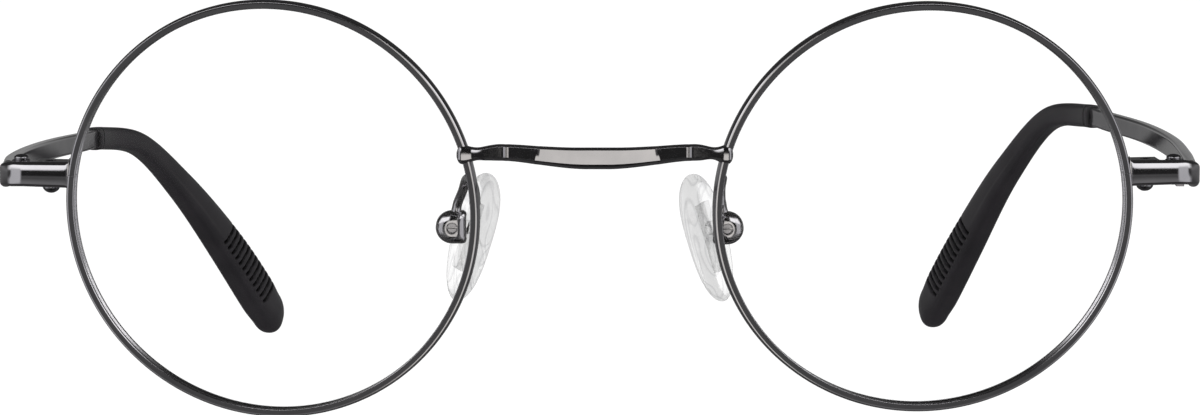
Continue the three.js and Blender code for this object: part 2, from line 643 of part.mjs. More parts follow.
function buildFrontSide(name) {
  const side = new THREE.Group();
  const eye = EYE_SET[name];
  const eyeGroup = new THREE.Group();
  eyeGroup.position.copy(eyeCentre(eye));
  eyeGroup.rotation.z = WRAP;
  eyeGroup.add(
    mesh(`${name}_rim`, eyewireGeometry(eye), gunmetal),
    mesh(`${name}_lens`, lensGeometry(eye), clearLens),
    mesh(`${name}_rim_lock_upper`, lockBlock(eye, true), gunmetal),
    mesh(`${name}_rim_lock_lower`, lockBlock(eye, false), gunmetal),
    mesh(`${name}_rim_lock_screw`, lockScrew(), screwSteel),
  );
  const hinge = new THREE.Group();
  hinge.position.set(HINGE.x, HINGE.y, HINGE.z);
  hinge.add(
    mesh(`${name}_hinge_front`, frontHingeGeometry(), hingeMetal),
    mesh(`${name}_hinge_screw`, hingeScrewGeometry(), screwSteel),
  );
  const pad = new THREE.Group();
  pad.position.set(PAD_SET[name].x, 0, PAD_SET[name].z);
  pad.add(
    mesh(`${name}_pad_box`, padBoxGeometry(), gunmetal),
    mesh(`${name}_pad_screw`, padScrewGeometry(), screwSteel),
    mesh(`${name}_nose_pad`, padGeometry(), silicone),
    mesh(`${name}_pad_insert`, insertGeometry(), insertPlate),
  );
  side.add(
    eyeGroup,
    hinge,
    pad,
    mesh(`${name}_endpiece`, endpieceGeometry(eye), gunmetal),
    mesh(`${name}_pad_arm`, padArmGeometry(eye, PAD_SET[name]), gunmetal),
  );
  return side;
}

function buildTemple(name) {
  const temple = new THREE.Group();
  const path = templePath(TEMPLE_SET[name]);
  temple.position.set(HINGE.x, HINGE.y, HINGE.z).applyAxisAngle(vec(1, 0, 0), LEAN);
  temple.add(
    mesh(`${name}_temple`, templeGeometry(path), gunmetal),
    mesh(`${name}_hinge_rear`, rearHingeGeometry(path), hingeMetal),
    mesh(`${name}_temple_tip`, tipGeometry(path), tipPlastic),
  );
  return temple;
}

function buildGlasses() {
  const bridgeFront = vec(0, BRIDGE.front, BRIDGE.z).applyAxisAngle(vec(1, 0, 0), LEAN);
  const front = new THREE.Group();
  front.rotation.x = LEAN;
  front.add(mesh('bridge', bridgeGeometry(), gunmetal));
  const body = new THREE.Group();
  body.position.copy(bridgeFront).negate();
  body.add(front);
  for (const name of ['left', 'right']) {
    const mirror = name === 'left' ? 1 : -1;
    const frontSide = buildFrontSide(name);
    frontSide.scale.x = mirror;
    front.add(frontSide);
    const templeSide = new THREE.Group();
    templeSide.scale.x = mirror;
    templeSide.add(buildTemple(name));
    body.add(templeSide);
  }
  const group = new THREE.Group();
  group.add(body);
  return group;
}

export default buildGlasses();
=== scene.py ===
"""Round wire eyeglasses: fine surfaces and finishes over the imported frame.

Lengths are in millimetres until a mesh is made. Every piece but the bridge is drawn for the wearer's left,
with x growing away from the nose, and mirrored for the right. Forward, towards the camera, is -y.
"""

import json
import math

import bmesh
import bpy
from mathutils import Matrix, Vector


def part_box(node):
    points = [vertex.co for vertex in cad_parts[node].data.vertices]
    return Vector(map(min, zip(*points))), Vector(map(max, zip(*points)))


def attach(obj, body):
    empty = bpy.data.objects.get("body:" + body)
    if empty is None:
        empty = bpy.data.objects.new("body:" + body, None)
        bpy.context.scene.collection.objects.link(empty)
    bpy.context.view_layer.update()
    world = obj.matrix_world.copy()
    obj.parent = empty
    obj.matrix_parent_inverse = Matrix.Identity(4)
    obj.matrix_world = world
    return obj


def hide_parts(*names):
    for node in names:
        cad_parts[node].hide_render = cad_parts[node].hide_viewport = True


MM = 0.001
MIRROR = {"left": 1, "right": -1}
UP = Vector((0, 0, 1))

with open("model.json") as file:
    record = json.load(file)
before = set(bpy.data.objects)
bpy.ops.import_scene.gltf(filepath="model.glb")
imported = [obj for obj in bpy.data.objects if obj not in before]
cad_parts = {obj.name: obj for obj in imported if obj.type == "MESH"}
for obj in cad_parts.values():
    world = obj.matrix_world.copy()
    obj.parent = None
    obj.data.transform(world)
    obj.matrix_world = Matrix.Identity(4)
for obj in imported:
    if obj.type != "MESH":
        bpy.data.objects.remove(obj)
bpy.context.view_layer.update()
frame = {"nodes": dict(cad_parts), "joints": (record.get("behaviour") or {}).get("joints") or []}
joints = {joint["name"]: joint for joint in frame["joints"]}


# ---- what the frame says ----


def joint_place(name):
    return Vector(joints[name]["pos_m"]) / MM


def node_box(node):
    low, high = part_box(node)
    return low / MM, high / MM


def node_centre(node):
    low, high = node_box(node)
    return (low + high) / 2


HINGE = {side: joint_place(f"{side}_temple_fold") for side in MIRROR}
PIVOT = {side: joint_place(f"{side}_pad_rock") for side in MIRROR}
EYE = {side: node_centre(f"{side}_rim") for side in MIRROR}
FOLD_AXIS = Vector(joints["left_temple_fold"]["axis"])
LEAN = math.atan2(-FOLD_AXIS.y, FOLD_AXIS.z)
LEANING = Matrix.Rotation(LEAN, 4, "X")


def folded_low(side):
    """How low the end of a temple tip comes as it folds about its leaning axis."""
    low, high = node_box(f"{side}_temple_tip")
    inner = low.x if side == "left" else high.x
    reach = Vector((inner, high.y, low.z)) - HINGE[side]
    axis = Vector(joints[f"{side}_temple_fold"]["axis"])
    turns = [math.radians(degrees) for degrees in range(-90, 91, 10)]
    return HINGE[side].z + min((Matrix.Rotation(turn, 3, axis) @ reach).z for turn in turns)


# The floor is low enough for the temples to fold above it.
FLOOR_Z = min(folded_low(side) for side in MIRROR) - 1

# ---- driving dimensions ----

WRAP = math.radians(8)
EYE_RADIUS = 21.4
EYE_OVAL = {"left": (0.0156, math.radians(-2)), "right": (0.0074, math.radians(50))}
EYE_SEGMENTS = 300
WIRE_DEPTH = 1.7
SPLIT_Z = 3.18  # height over the eye's centre where the eyewire is split
SPLIT_ANGLE = math.asin(SPLIT_Z / EYE_RADIUS)
SPLIT_GAP = 0.04
LOCK_SCREW_PLACE = (23.95, 1.4, 0)  # from the eye's centre

LENS_EDGE = 21.03
LENS_BEVEL = 0.36  # half the width of the bevel that sits in the groove
LENS_HALF_EDGE = 0.75
LENS_THICKNESS = 1.9
LENS_BOW = 110
LENS_SEGMENTS = 160

BRIDGE_FRONT = Vector((0, -5.0, 5.9))  # the row's origin, in the front's own frame
BRIDGE_THICKNESS = 1.25
BRIDGE_FLAT = (5.9, 6.4)  # how far from the middle the flat front blends into the slopes
BRIDGE_END_FRONT = -3.96  # the front face never lies further back than this
BRIDGE_END_ROUND = 0.45
BRIDGE_END = {"left": 14.05, "right": 14.6}

END_HEIGHT = 2.6
END_ROOT_HEIGHT = 2.72  # beside the eyewire, before the solder flare
END_THICKNESS = 1.15
END_START = 21.55  # from the eye's centre
END_FRONT = -0.85
END_CORNER = 2.6  # radius of the turn towards the temple
END_CROWN = 0.34
END_ROUNDING = 0.36

BARREL_RADIUS = 0.95
BARREL_END = 1.3
BARREL_SPLIT = 0.5  # height of the joints between the barrels
BARREL_PLAY = 0.025
LEAF_THICKNESS = 0.85
LEAF_GAP = 0.03

BUTT_GAP = 0.03  # from the hinge axis to each end of the two bars that meet there
BAR_THICKNESS = 1.3
BAR_HEIGHT = (2.35, 2.2)  # at the hinge and at the sleeve
BAR_ROUNDING = 0.6
SLEEVE_START = 79
SLEEVE_FORWARD = {"left": 2.9, "right": 3.5}  # how much nearer to the hinge each sleeve starts
SLEEVE = (2.75, 2.35)  # height and thickness where the sleeve starts
PADDLE = (5.5, 3.5)
PADDLE_ROUND = 2.4
RIDGE_COUNT = 12
RIDGE_PITCH = 1.25
RIDGE_DEPTH = 0.45
RIDGE_BOW = 0.45
RIDGE_END = 3.7  # plain paddle past the last ridge
CREASE_DEPTH = 0.14

PAD_LENGTH = 14
PAD_WIDTH = 7.8
PAD_THICKNESS = 2.4
PAD_FROM_PIVOT = Vector((-1.85, 2.8, -1.45))
PAD_SPLAY = math.radians(28)
PAD_TILT = math.radians(16)
PAD_WIRE = 1.0
PAD_ARM_BENT_FOR = 15.3  # the box's distance from the middle that the arm's points are written for
BOX_RADIUS = 1.75
BOX_DEPTH = 2.5
BOX_NASAL = 1.55  # how far the square side reaches towards the nose

FRONT_ORIGIN = -(LEANING @ BRIDGE_FRONT)
CAD_OUTER_X = node_box("left_endpiece")[1].x
# The two corners were bent a little differently.
OUTER_X = {"left": CAD_OUTER_X + 0.25, "right": CAD_OUTER_X - 0.2}


def temple_set(side):
    """How each temple was bent: rise, extra bow, set towards the head at three places and extra drop."""
    if side == "left":
        return {"rise": math.radians(2.8), "bow": 0.5, "sleeve": 1.0, "bend": 1.5, "end": 0, "drop": -0.1}
    return {"rise": math.radians(0.8), "bow": 0, "sleeve": 0, "bend": 0.5, "end": 0.8, "drop": 0.62}


# ---- placing: matrices from a side's own drawing to the row frame ----


def mirror_matrix(side):
    return Matrix.Scale(MIRROR[side], 4, Vector((1, 0, 0)))


def front_place(side):
    return Matrix.Translation(FRONT_ORIGIN) @ LEANING @ mirror_matrix(side)


def eye_place(side):
    return Matrix.Translation(EYE[side]) @ LEANING @ mirror_matrix(side) @ Matrix.Rotation(WRAP, 4, "Z")


def hinge_place(side):
    return Matrix.Translation(HINGE[side]) @ LEANING @ mirror_matrix(side)


def temple_place(side):
    return Matrix.Translation(HINGE[side]) @ mirror_matrix(side)


def pad_place(side):
    return Matrix.Translation(PIVOT[side]) @ LEANING @ mirror_matrix(side)


def to_front(side, point):
    """A point of the row frame in a side's own drawing of the front."""
    return front_place(side).inverted() @ point


# ---- mesh tools ----


def smooth_step(value, low, high):
    t = min(1, max(0, (value - low) / (high - low)))
    return t * t * (3 - 2 * t)


def lerp(a, b, t):
    return a + (b - a) * t


def bell(value, middle, width):
    """1 at the middle, falling away smoothly on both sides."""
    return math.exp(-(((value - middle) / width) ** 2))


def evenly(start, end, count):
    return [lerp(start, end, i / count) for i in range(count + 1)]


def make_object(name, shells, place, sharp_angle=32):
    """One object from shells of (points, faces), moved by place, with outward faces and smooth shading."""
    mesh = bmesh.new()
    for points, faces in shells:
        made = [mesh.verts.new(place @ Vector(point) * MM) for point in points]
        for face in faces:
            mesh.faces.new([made[i] for i in face])
    bmesh.ops.remove_doubles(mesh, verts=mesh.verts, dist=1e-8)
    bmesh.ops.recalc_face_normals(mesh, faces=mesh.faces)
    data = bpy.data.meshes.new(name)
    mesh.to_mesh(data)
    mesh.free()
    data.polygons.foreach_set("use_smooth", [True] * len(data.polygons))
    data.set_sharp_from_angle(angle=math.radians(sharp_angle))
    made = bpy.data.objects.new(name, data)
    bpy.context.scene.collection.objects.link(made)
    return made


def loft(rings):
    """A closed shell through rings of equal length."""
    count = len(rings[0])
    points = [point for ring in rings for point in ring]
    faces = [list(range(count))[::-1], [(len(rings) - 1) * count + j for j in range(count)]]
    for i in range(len(rings) - 1):
        for j in range(count):
            k = (j + 1) % count
            faces.append([i * count + j, i * count + k, (i + 1) * count + k, (i + 1) * count + j])
    return points, faces


def ring_at(point, direction, outline, up=UP):
    """The outline's (height, side) pairs set square to the direction.

    Side grows away from the nose on a temple and forward on the front.
    """
    side = direction.cross(up).normalized()
    rise = side.cross(direction).normalized()
    return [point + rise * h + side * w for h, w in outline]


def rounded_outline(height, width, corner, steps=5):
    outline = []
    for quarter in range(4):
        sign_h = 1 if quarter in (0, 3) else -1
        sign_w = 1 if quarter < 2 else -1
        for step in range(steps + 1):
            angle = (quarter + step / steps) * math.pi / 2
            h = sign_h * (height / 2 - corner) + corner * math.cos(angle)
            w = sign_w * (width / 2 - corner) + corner * math.sin(angle)
            outline.append((h, w))
    return outline


def soft_outline(height, width, power, count):
    """An outline between an ellipse (power 2) and a box (high power)."""
    outline = []
    for i in range(count):
        angle = 2 * math.pi * i / count
        cos, sin = math.cos(angle), math.sin(angle)
        h = math.copysign(abs(cos) ** (2 / power), cos) * height / 2
        w = math.copysign(abs(sin) ** (2 / power), sin) * width / 2
        outline.append((h, w))
    return outline


def turned(profile, segments=40):
    """A shell turned about z from (radius, z) pairs; the first and last pair lie on the axis."""
    rings = []
    for radius, z in profile[1:-1]:
        turns = [2 * math.pi * i / segments for i in range(segments)]
        rings.append([Vector((radius * math.cos(a), radius * math.sin(a), z)) for a in turns])
    return loft(rings)


def block(low, high):
    (x0, y0, z0), (x1, y1, z1) = low, high
    bottom = [Vector(p) for p in ((x0, y0, z0), (x1, y0, z0), (x1, y1, z0), (x0, y1, z0))]
    return loft([bottom, [Vector((p.x, p.y, z1)) for p in bottom]])


def moved(shell, matrix):
    points, faces = shell
    return [matrix @ Vector(point) for point in points], faces


def carve(piece, cutter):
    """Cuts one object out of another and throws the cutter away."""
    cut = piece.modifiers.new("cut", "BOOLEAN")
    cut.operation = "DIFFERENCE"
    cut.solver = "EXACT"
    cut.object = cutter
    bpy.context.view_layer.update()
    graph = bpy.context.evaluated_depsgraph_get()
    carved = bpy.data.meshes.new_from_object(piece.evaluated_get(graph))
    piece.modifiers.clear()
    piece.data = carved
    carved.set_sharp_from_angle(angle=math.radians(32))
    bpy.data.objects.remove(cutter)
    return piece


class Path:
    """A centripetal Catmull-Rom curve, walked by distance."""

    def __init__(self, points, per_span=32):
        ends = [2 * points[0] - points[1], *points, 2 * points[-1] - points[-2]]
        self.points = []
        for a, b, c, d in zip(ends, ends[1:], ends[2:], ends[3:]):
            self.points += [self.between(a, b, c, d, i / per_span) for i in range(per_span)]
        self.points.append(points[-1])
        self.lengths = [0]
        for p, q in zip(self.points, self.points[1:]):
            self.lengths.append(self.lengths[-1] + (q - p).length)
        self.length = self.lengths[-1]

    @staticmethod
    def between(a, b, c, d, t):
        tb = (b - a).length ** 0.5
        tc = tb + (c - b).length ** 0.5
        td = tc + (d - c).length ** 0.5
        t = lerp(tb, tc, t)
        ab = a.lerp(b, t / tb)
        bc = b.lerp(c, (t - tb) / (tc - tb))
        cd = c.lerp(d, (t - tc) / (td - tc))
        return ab.lerp(bc, t / tc).lerp(bc.lerp(cd, (t - tb) / (td - tb)), (t - tb) / (tc - tb))

    def at(self, distance):
        distance = min(self.length, max(0, distance))
        i = next((i for i, far in enumerate(self.lengths) if far > distance), len(self.lengths) - 1)
        i = max(1, i)
        t = (distance - self.lengths[i - 1]) / (self.lengths[i] - self.lengths[i - 1])
        return self.points[i - 1].lerp(self.points[i], t)

    def tangent(self, distance):
        reach = 0.4
        return (self.at(distance + reach) - self.at(distance - reach)).normalized()

    def ring(self, distance, outline):
        return ring_at(self.at(distance), self.tangent(distance), outline)


# ---- eyewire and lens, in the eye's frame ----


def eye_scale(side, angle):
    share, long_way = EYE_OVAL[side]
    return 1 + share * math.cos(2 * (angle - long_way))


def wire_section():
    """The eyewire's section as (forward, outward) pairs.

    It is flat in front and behind, crowned outside and grooved inside.
    """
    half = WIRE_DEPTH / 2
    inside, outside, crown_height = -0.31, 0.31, 0.28
    chamfer, mouth, groove_bottom = 0.07, 0.4, 0.06
    crown_angles = evenly(0.22, math.pi - 0.22, 12)
    crown = [(half * math.cos(a), outside + crown_height * math.sin(a)) for a in crown_angles]
    groove = [(-half + chamfer, inside), (-mouth, inside), (0, groove_bottom)]
    groove += [(mouth, inside), (half - chamfer, inside)]
    return [(half, -0.24), (half, 0.22), (half, 0.27), *crown, (-half, 0.27), (-half, -0.24), *groove]


def eye_ring(side, radius, y, angles):
    """A ring about the eye at one depth, as far out of round as that eye is."""
    ring = []
    for angle in angles:
        reach = radius * eye_scale(side, angle)
        ring.append(Vector((reach * math.cos(angle), y, reach * math.sin(angle))))
    return ring


def eyewire(side):
    half_gap = SPLIT_GAP / 2 / EYE_RADIUS
    rings = []
    for angle in evenly(SPLIT_ANGLE + half_gap, SPLIT_ANGLE - half_gap + 2 * math.pi, EYE_SEGMENTS):
        radius = EYE_RADIUS * eye_scale(side, angle)
        ring = []
        for forward, outward in wire_section():
            reach = radius + outward
            ring.append(Vector((reach * math.cos(angle), -forward, reach * math.sin(angle))))
        rings.append(ring)
    return make_object(f"{side}_eyewire", [loft(rings)], eye_place(side))


def sag(radius, bow):
    """How far a face of radius bow falls back at a distance from its middle."""
    return bow - math.sqrt(bow * bow - radius * radius)


def lens(side):
    """Both faces bow forward, the back one by as much as leaves LENS_THICKNESS at the middle."""
    front_centre = -LENS_HALF_EDGE - sag(LENS_EDGE, LENS_BOW)
    back_centre = front_centre + LENS_THICKNESS
    depth = LENS_HALF_EDGE - back_centre
    back_bow = LENS_EDGE**2 / (2 * depth) + depth / 2
    radii = [LENS_EDGE * share for share in evenly(0.02, 1, 14)]
    profile = [(radius, front_centre + sag(radius, LENS_BOW)) for radius in radii]
    profile += [(LENS_EDGE, -LENS_BEVEL), (EYE_RADIUS, 0), (LENS_EDGE, LENS_BEVEL)]
    profile += [(radius, back_centre + sag(radius, back_bow)) for radius in reversed(radii)]
    angles = [2 * math.pi * i / LENS_SEGMENTS for i in range(LENS_SEGMENTS)]
    rings = [eye_ring(side, radius, y, angles) for radius, y in profile]
    return make_object(f"{side}_clear_lens", [loft(rings)], eye_place(side), sharp_angle=25)


# ---- endpiece: from the eyewire round the corner to the hinge, in the front's frame ----


def end_outline(height, thickness, crown, corner=END_ROUNDING):
    """A rounded bar whose front face is crowned, highest a little below its middle."""
    crest = -0.15
    outline = []
    for h, w in rounded_outline(height, thickness, corner, steps=6):
        share = 2 * h / height - crest
        outline.append((h, w - crown * share * share if w > 0 else w))
    return outline


def endpiece(side):
    eye = to_front(side, EYE[side])
    out = Vector((math.cos(WRAP), math.sin(WRAP), 0))
    back = Vector((-math.sin(WRAP), math.cos(WRAP), 0))
    first = END_START * eye_scale(side, SPLIT_ANGLE)
    start = eye + Vector((0, 0, SPLIT_Z)) + out * first + back * (END_FRONT + END_THICKNESS / 2)
    hinge = to_front(side, HINGE[side])
    finish_x = OUTER_X[side] - BAR_THICKNESS / 2
    straight = (finish_x - start.x - END_CORNER * (1 - math.sin(WRAP))) / math.cos(WRAP)
    flare_length, flare_height = 0.5, 0.9
    rings = []
    for far in (0, 0.06, 0.13, 0.22, 0.34, 0.5, 1.0, 2.0, 3.0, 4.0, straight * 0.85, straight):
        flare = max(0, 1 - far / flare_length)
        height = lerp(END_ROOT_HEIGHT, END_HEIGHT, far / straight) + flare_height * flare**3
        outline = end_outline(height, END_THICKNESS, END_CROWN)
        rings.append(ring_at(start + out * far, out, outline))
    centre = start + out * straight + back * END_CORNER
    turn = math.pi / 2 - WRAP
    for share in evenly(0, 1, 28)[1:]:
        angle = turn * share
        point = centre + out * (END_CORNER * math.sin(angle)) - back * (END_CORNER * math.cos(angle))
        point.z = lerp(start.z, hinge.z, share * share)
        thickness = lerp(END_THICKNESS, BAR_THICKNESS, share)
        corner = lerp(END_ROUNDING, BAR_ROUNDING, smooth_step(share, 0.5, 1))
        outline = end_outline(END_HEIGHT, thickness, END_CROWN * (1 - smooth_step(share, 0.4, 1)), corner)
        rings.append(ring_at(point, out * math.cos(angle) + back * math.sin(angle), outline))
    outline = end_outline(lerp(END_HEIGHT, BAR_HEIGHT[0], 0.8), BAR_THICKNESS, 0, BAR_ROUNDING)
    for y in evenly(rings[-1][0].y + 0.3, hinge.y - BUTT_GAP, 4):
        rings.append(ring_at(Vector((finish_x, y, hinge.z)), Vector((0, 1, 0)), outline))
    return make_object(f"{side}_end_bar", [loft(rings)], front_place(side))


# ---- bridge, in the front's frame without mirroring ----


def bridge_outline(top, bottom, turn_up, crown, scale):
    """Flat front between a narrow bevel above and a broad one below; turn_up tips the face upward."""
    front, back = BRIDGE_THICKNESS / 2, -BRIDGE_THICKNESS / 2
    low_bevel = min(0.62, (top - bottom) * 0.25)
    outline = [(top, front - 0.3), (top - 0.08, front - 0.12), (top - 0.17, front)]
    outline += [(lerp(top - 0.3, bottom + low_bevel + 0.1, t / 6), front) for t in range(7)]
    outline += [(bottom + low_bevel, front), (bottom + low_bevel * 0.5, front - 0.16)]
    outline += [(bottom, front - 0.45), (bottom, back + 0.25), (bottom + 0.25, back)]
    outline += [(top - 0.25, back), (top, back + 0.25)]
    middle, half = (top + bottom) / 2, (top - bottom) / 2
    shaped = []
    for h, w in outline:
        share = (h - middle) / half
        if w > 0:
            w -= turn_up * (h - middle) + crown * share * share
        shaped.append((middle + share * half * scale, w * scale))
    return shaped


def bridge_front(away):
    """How far back the front face lies: flat in the middle, sloping outside it, with one crease."""
    slopes = ((BRIDGE_FLAT[1], 0.2), (9.3, -0.1), (11.8, 0.04))
    y = BRIDGE_FRONT.y + sum(slope * max(0, away - start) for start, slope in slopes)
    blend = 0.03 * smooth_step(away, *BRIDGE_FLAT)
    return min(BRIDGE_END_FRONT, y + blend) - 0.07 * bell(away, 9.5, 0.16)


def bridge():
    """From one eyewire to the other, with a waist and a knob at each soldered end."""
    rings = []
    for x in evenly(-BRIDGE_END["right"], BRIDGE_END["left"], 260):
        away = abs(x)
        end = BRIDGE_END["left" if x > 0 else "right"]
        knob = bell(away, end - 0.75, 0.55)
        waist = bell(away, end - 2.1, 0.8)
        top = BRIDGE_FRONT.z + 1.02 + 0.26 * smooth_step(away, 2, 9.5) - 0.3 * smooth_step(away, 10, 12.5)
        bottom = BRIDGE_FRONT.z - 1.18 + 0.8 * smooth_step(away, 1, 10) - 0.28 * smooth_step(away, 11, 13)
        top += 0.16 * knob - 0.08 * waist
        bottom += 0.22 * waist - 0.16 * knob
        turn_up = 0.12 * smooth_step(away, BRIDGE_FLAT[0], 6.6)
        crown = 0.07 * smooth_step(away, 11.2, 12.8)
        into_end = max(0, away - (end - BRIDGE_END_ROUND)) / 0.47
        scale = max(0.3, math.sqrt(max(0, 1 - into_end**2)))
        point = Vector((x, bridge_front(away) + BRIDGE_THICKNESS / 2, 0))
        outline = bridge_outline(top, bottom, turn_up, crown, scale)
        rings.append(ring_at(point, Vector((1, 0, 0)), outline))
    return make_object("bridge_bar", [loft(rings)], Matrix.Translation(FRONT_ORIGIN) @ LEANING, 24)


# ---- hinge ----


def barrel(bottom, top):
    radius, soft = BARREL_RADIUS, 0.1
    profile = [(0, bottom), (radius - soft, bottom), (radius, bottom + soft), (radius, top - soft)]
    return turned([*profile, (radius - soft, top), (0, top)])


def front_hinge(side):
    leaf_out = CAD_OUTER_X - BAR_THICKNESS - HINGE["left"].x - LEAF_GAP
    half_height = BARREL_END - 0.02
    wing = block((leaf_out - LEAF_THICKNESS, -2.2, -half_height), (leaf_out, -0.05, half_height))
    inner_end = BARREL_SPLIT + BARREL_PLAY
    shells = [barrel(-BARREL_END, -inner_end), barrel(inner_end, BARREL_END), wing]
    return make_object(f"{side}_front_leaf", shells, hinge_place(side))


def rear_hinge(side, path):
    height, length, rounding = 1.9, 7, 0.2
    inward = -BAR_THICKNESS / 2 - LEAF_GAP - LEAF_THICKNESS / 2
    outline = [(h, w + inward) for h, w in rounded_outline(height, LEAF_THICKNESS, rounding, steps=3)]
    rings = lean_first_ring([path.ring(far, outline) for far in evenly(0, length, 10)])
    half_barrel = BARREL_SPLIT - BARREL_PLAY
    middle_barrel = moved(barrel(-half_barrel, half_barrel), LEANING)
    return make_object(f"{side}_temple_leaf", [loft(rings), middle_barrel], temple_place(side))


def slotted(name, profile, slot_width, slot_bottom, slot_top, place):
    """A turned screw with a slot across its head."""
    screw = make_object(name, [turned(profile)], place)
    slot = block((-2, -slot_width / 2, slot_bottom), (2, slot_width / 2, slot_top))
    return carve(screw, make_object(name + "_slot", [slot], place))


def hinge_screw(side):
    """Its head stands above the top barrel and its slotted dome is seen over the endpiece."""
    top, bottom, shank, head, rim = 1.32, -1.38, 0.48, 0.78, 0.2
    dome_height = 0.34
    dome = [(head * math.cos(a), top + rim + dome_height * math.sin(a)) for a in evenly(0, 1.45, 8)]
    profile = [(0, bottom), (shank - 0.06, bottom), (shank, bottom + 0.07), (shank, top), (head, top)]
    profile += [*dome, (0, top + rim + dome_height)]
    return slotted(f"{side}_hinge_pin", profile, 0.24, top + 0.3, top + 1, hinge_place(side))


def lock_screw(side):
    """It comes from below, so its domed and slotted head is the bottom end."""
    top, tip, shank, head, height, rim = 1.87, 4.2, 0.5, 0.92, 0.86, 0.12
    angles = evenly(0.08, math.pi / 2, 10)
    dome = [(head * math.sin(a), top - rim - (height - rim) * math.cos(a)) for a in angles]
    profile = [(0, top - height), *dome, (head, top), (shank, top), (shank, tip), (0, tip)]
    place = eye_place(side) @ Matrix.Translation(LOCK_SCREW_PLACE)
    return slotted(f"{side}_lock_bolt", profile, 0.26, 0.5, top - height + 0.28, place)


# ---- temple and tip, in the temple's frame ----


def temple_path(side):
    bend = temple_set(side)
    slope = math.tan(bend["rise"])

    def along(x, y):
        return Vector((x, y, y * slope))

    return Path([
        along(OUTER_X[side] - BAR_THICKNESS / 2 - HINGE["left"].x, 0),
        along(2.35 + bend["bow"] / 2, 12),
        along(2.85 + bend["bow"], 32),
        along(2.2 + bend["bow"] / 2, 52),
        along(0.6 - bend["sleeve"] / 2, 68),
        along(-1.0 - bend["sleeve"], SLEEVE_START),
        Vector((-4.0 - bend["bend"], 88.5, 88.5 * slope - 1.2)),
        Vector((-8.3 - bend["bend"], 98.5, 55 * slope - 6.2)),
        Vector((-13.0 - (bend["bend"] + bend["end"]) / 2, 110.5, 20 * slope - 13.6 - bend["drop"] / 2)),
        Vector((-17.6 - bend["end"], 122.6, -22.4 - bend["drop"])),
    ])


def lean_first_ring(rings):
    """The bar's front end is cut parallel to the hinge axis."""
    for point in rings[0]:
        point.y = BUTT_GAP - point.z * math.tan(LEAN)
    return rings


def temple_bar(side, path):
    rings = []
    for far in evenly(0, SLEEVE_START + 1.5, 90):
        height = lerp(*BAR_HEIGHT, far / SLEEVE_START)
        corner = lerp(BAR_ROUNDING, 0.33, smooth_step(far, 0, 12))
        rings.append(path.ring(far, rounded_outline(height, BAR_THICKNESS, corner, steps=6)))
    return make_object(f"{side}_temple_bar", [loft(lean_first_ring(rings))], temple_place(side))


def ridges_start(path):
    return path.length - RIDGE_END - RIDGE_COUNT * RIDGE_PITCH


def ridge_cut(path, far, height_share):
    """Depth of the grip grooves at a distance along the tip and a share of its half height."""
    bowed = far - ridges_start(path) + RIDGE_BOW * (1 - height_share) ** 2
    groove = bowed / RIDGE_PITCH
    if not 0 <= groove < RIDGE_COUNT:
        return 0
    across = abs((groove % 1) - 0.5)
    return RIDGE_DEPTH * smooth_step(across, 0.3, 0.1) * smooth_step(height_share, -0.75, -0.35)


def crease_cut(share, height_share):
    """A fine moulded line along the inner face, over the first straight of the tip."""
    along = smooth_step(share, 0.3, 0.36) * smooth_step(share, 0.66, 0.56)
    return CREASE_DEPTH * along * bell(height_share, -0.3, 0.05)


def tip_ring(path, far, scale=1.0, thickness_scale=1.0):
    """The tip's outline at a distance along the temple; only full-size rings carry ridges and crease."""
    share = (far - SLEEVE_START) / (path.length - SLEEVE_START)
    grown = smooth_step(share, 0.15, 0.9)
    height = lerp(SLEEVE[0], PADDLE[0], grown) * scale
    thickness = lerp(SLEEVE[1], PADDLE[1], grown) * thickness_scale
    squareness = lerp(3.4, 2.4, smooth_step(far, path.length - 5, path.length - 1))
    outline = []
    for h, w in soft_outline(height, thickness, squareness, 72):
        height_share = 2 * h / height
        cut = 0
        if scale == 1 and w < 0:
            inside = smooth_step(-w / thickness, *((0.1, 0.3) if h > 0 else (0.3, 0.45)))
            cut = inside * (ridge_cut(path, far, height_share) + crease_cut(share, height_share))
        outline.append((h, w + cut))
    return outline


def temple_tip(side, path):
    """A sleeve that starts with a small collar, carries the ridges and ends in a rounded paddle."""
    collar = [(0, 0.9), (0.1, 0.98), (0.2, 1), (0.5, 1), (0.56, 0.91), (0.86, 0.91), (0.92, 1)]
    start = SLEEVE_START - SLEEVE_FORWARD[side]
    first_ridge = ridges_start(path)
    last = path.length - 1.0
    stations = evenly(start + 1.2, first_ridge - 0.8, 44)
    stations += evenly(first_ridge - 0.7, path.length - RIDGE_END + 0.3, 190)
    stations += evenly(path.length - RIDGE_END + 0.6, last, 6)
    sizes = [(start + along, scale) for along, scale in collar] + [(far, 1.0) for far in stations]
    rings = [path.ring(far, tip_ring(path, far, scale, scale)) for far, scale in sizes]
    tail = path.tangent(path.length)
    reach = PADDLE_ROUND + 1.0
    for angle in evenly(0.1, 1.5, 16):
        outline = tip_ring(path, last, max(0.05, math.cos(angle) ** 0.9), 0.2 + 0.8 * math.cos(angle))
        rings.append(ring_at(path.at(last) + tail * reach * math.sin(angle), tail, outline))
    return make_object(f"{side}_tip_sleeve", [loft(rings)], temple_place(side), 50)


# ---- nose pad and its arm, box and screw ----


def pad_basis():
    """The pad's own axes: across its width, up its length and away from the nose."""
    across = Vector((math.sin(PAD_SPLAY), math.cos(PAD_SPLAY), 0))
    up = Vector((-math.sin(PAD_TILT), 0, math.cos(PAD_TILT)))
    out = across.cross(up).normalized()
    across = up.cross(out).normalized()
    return Matrix((across, up, out)).transposed().to_4x4()


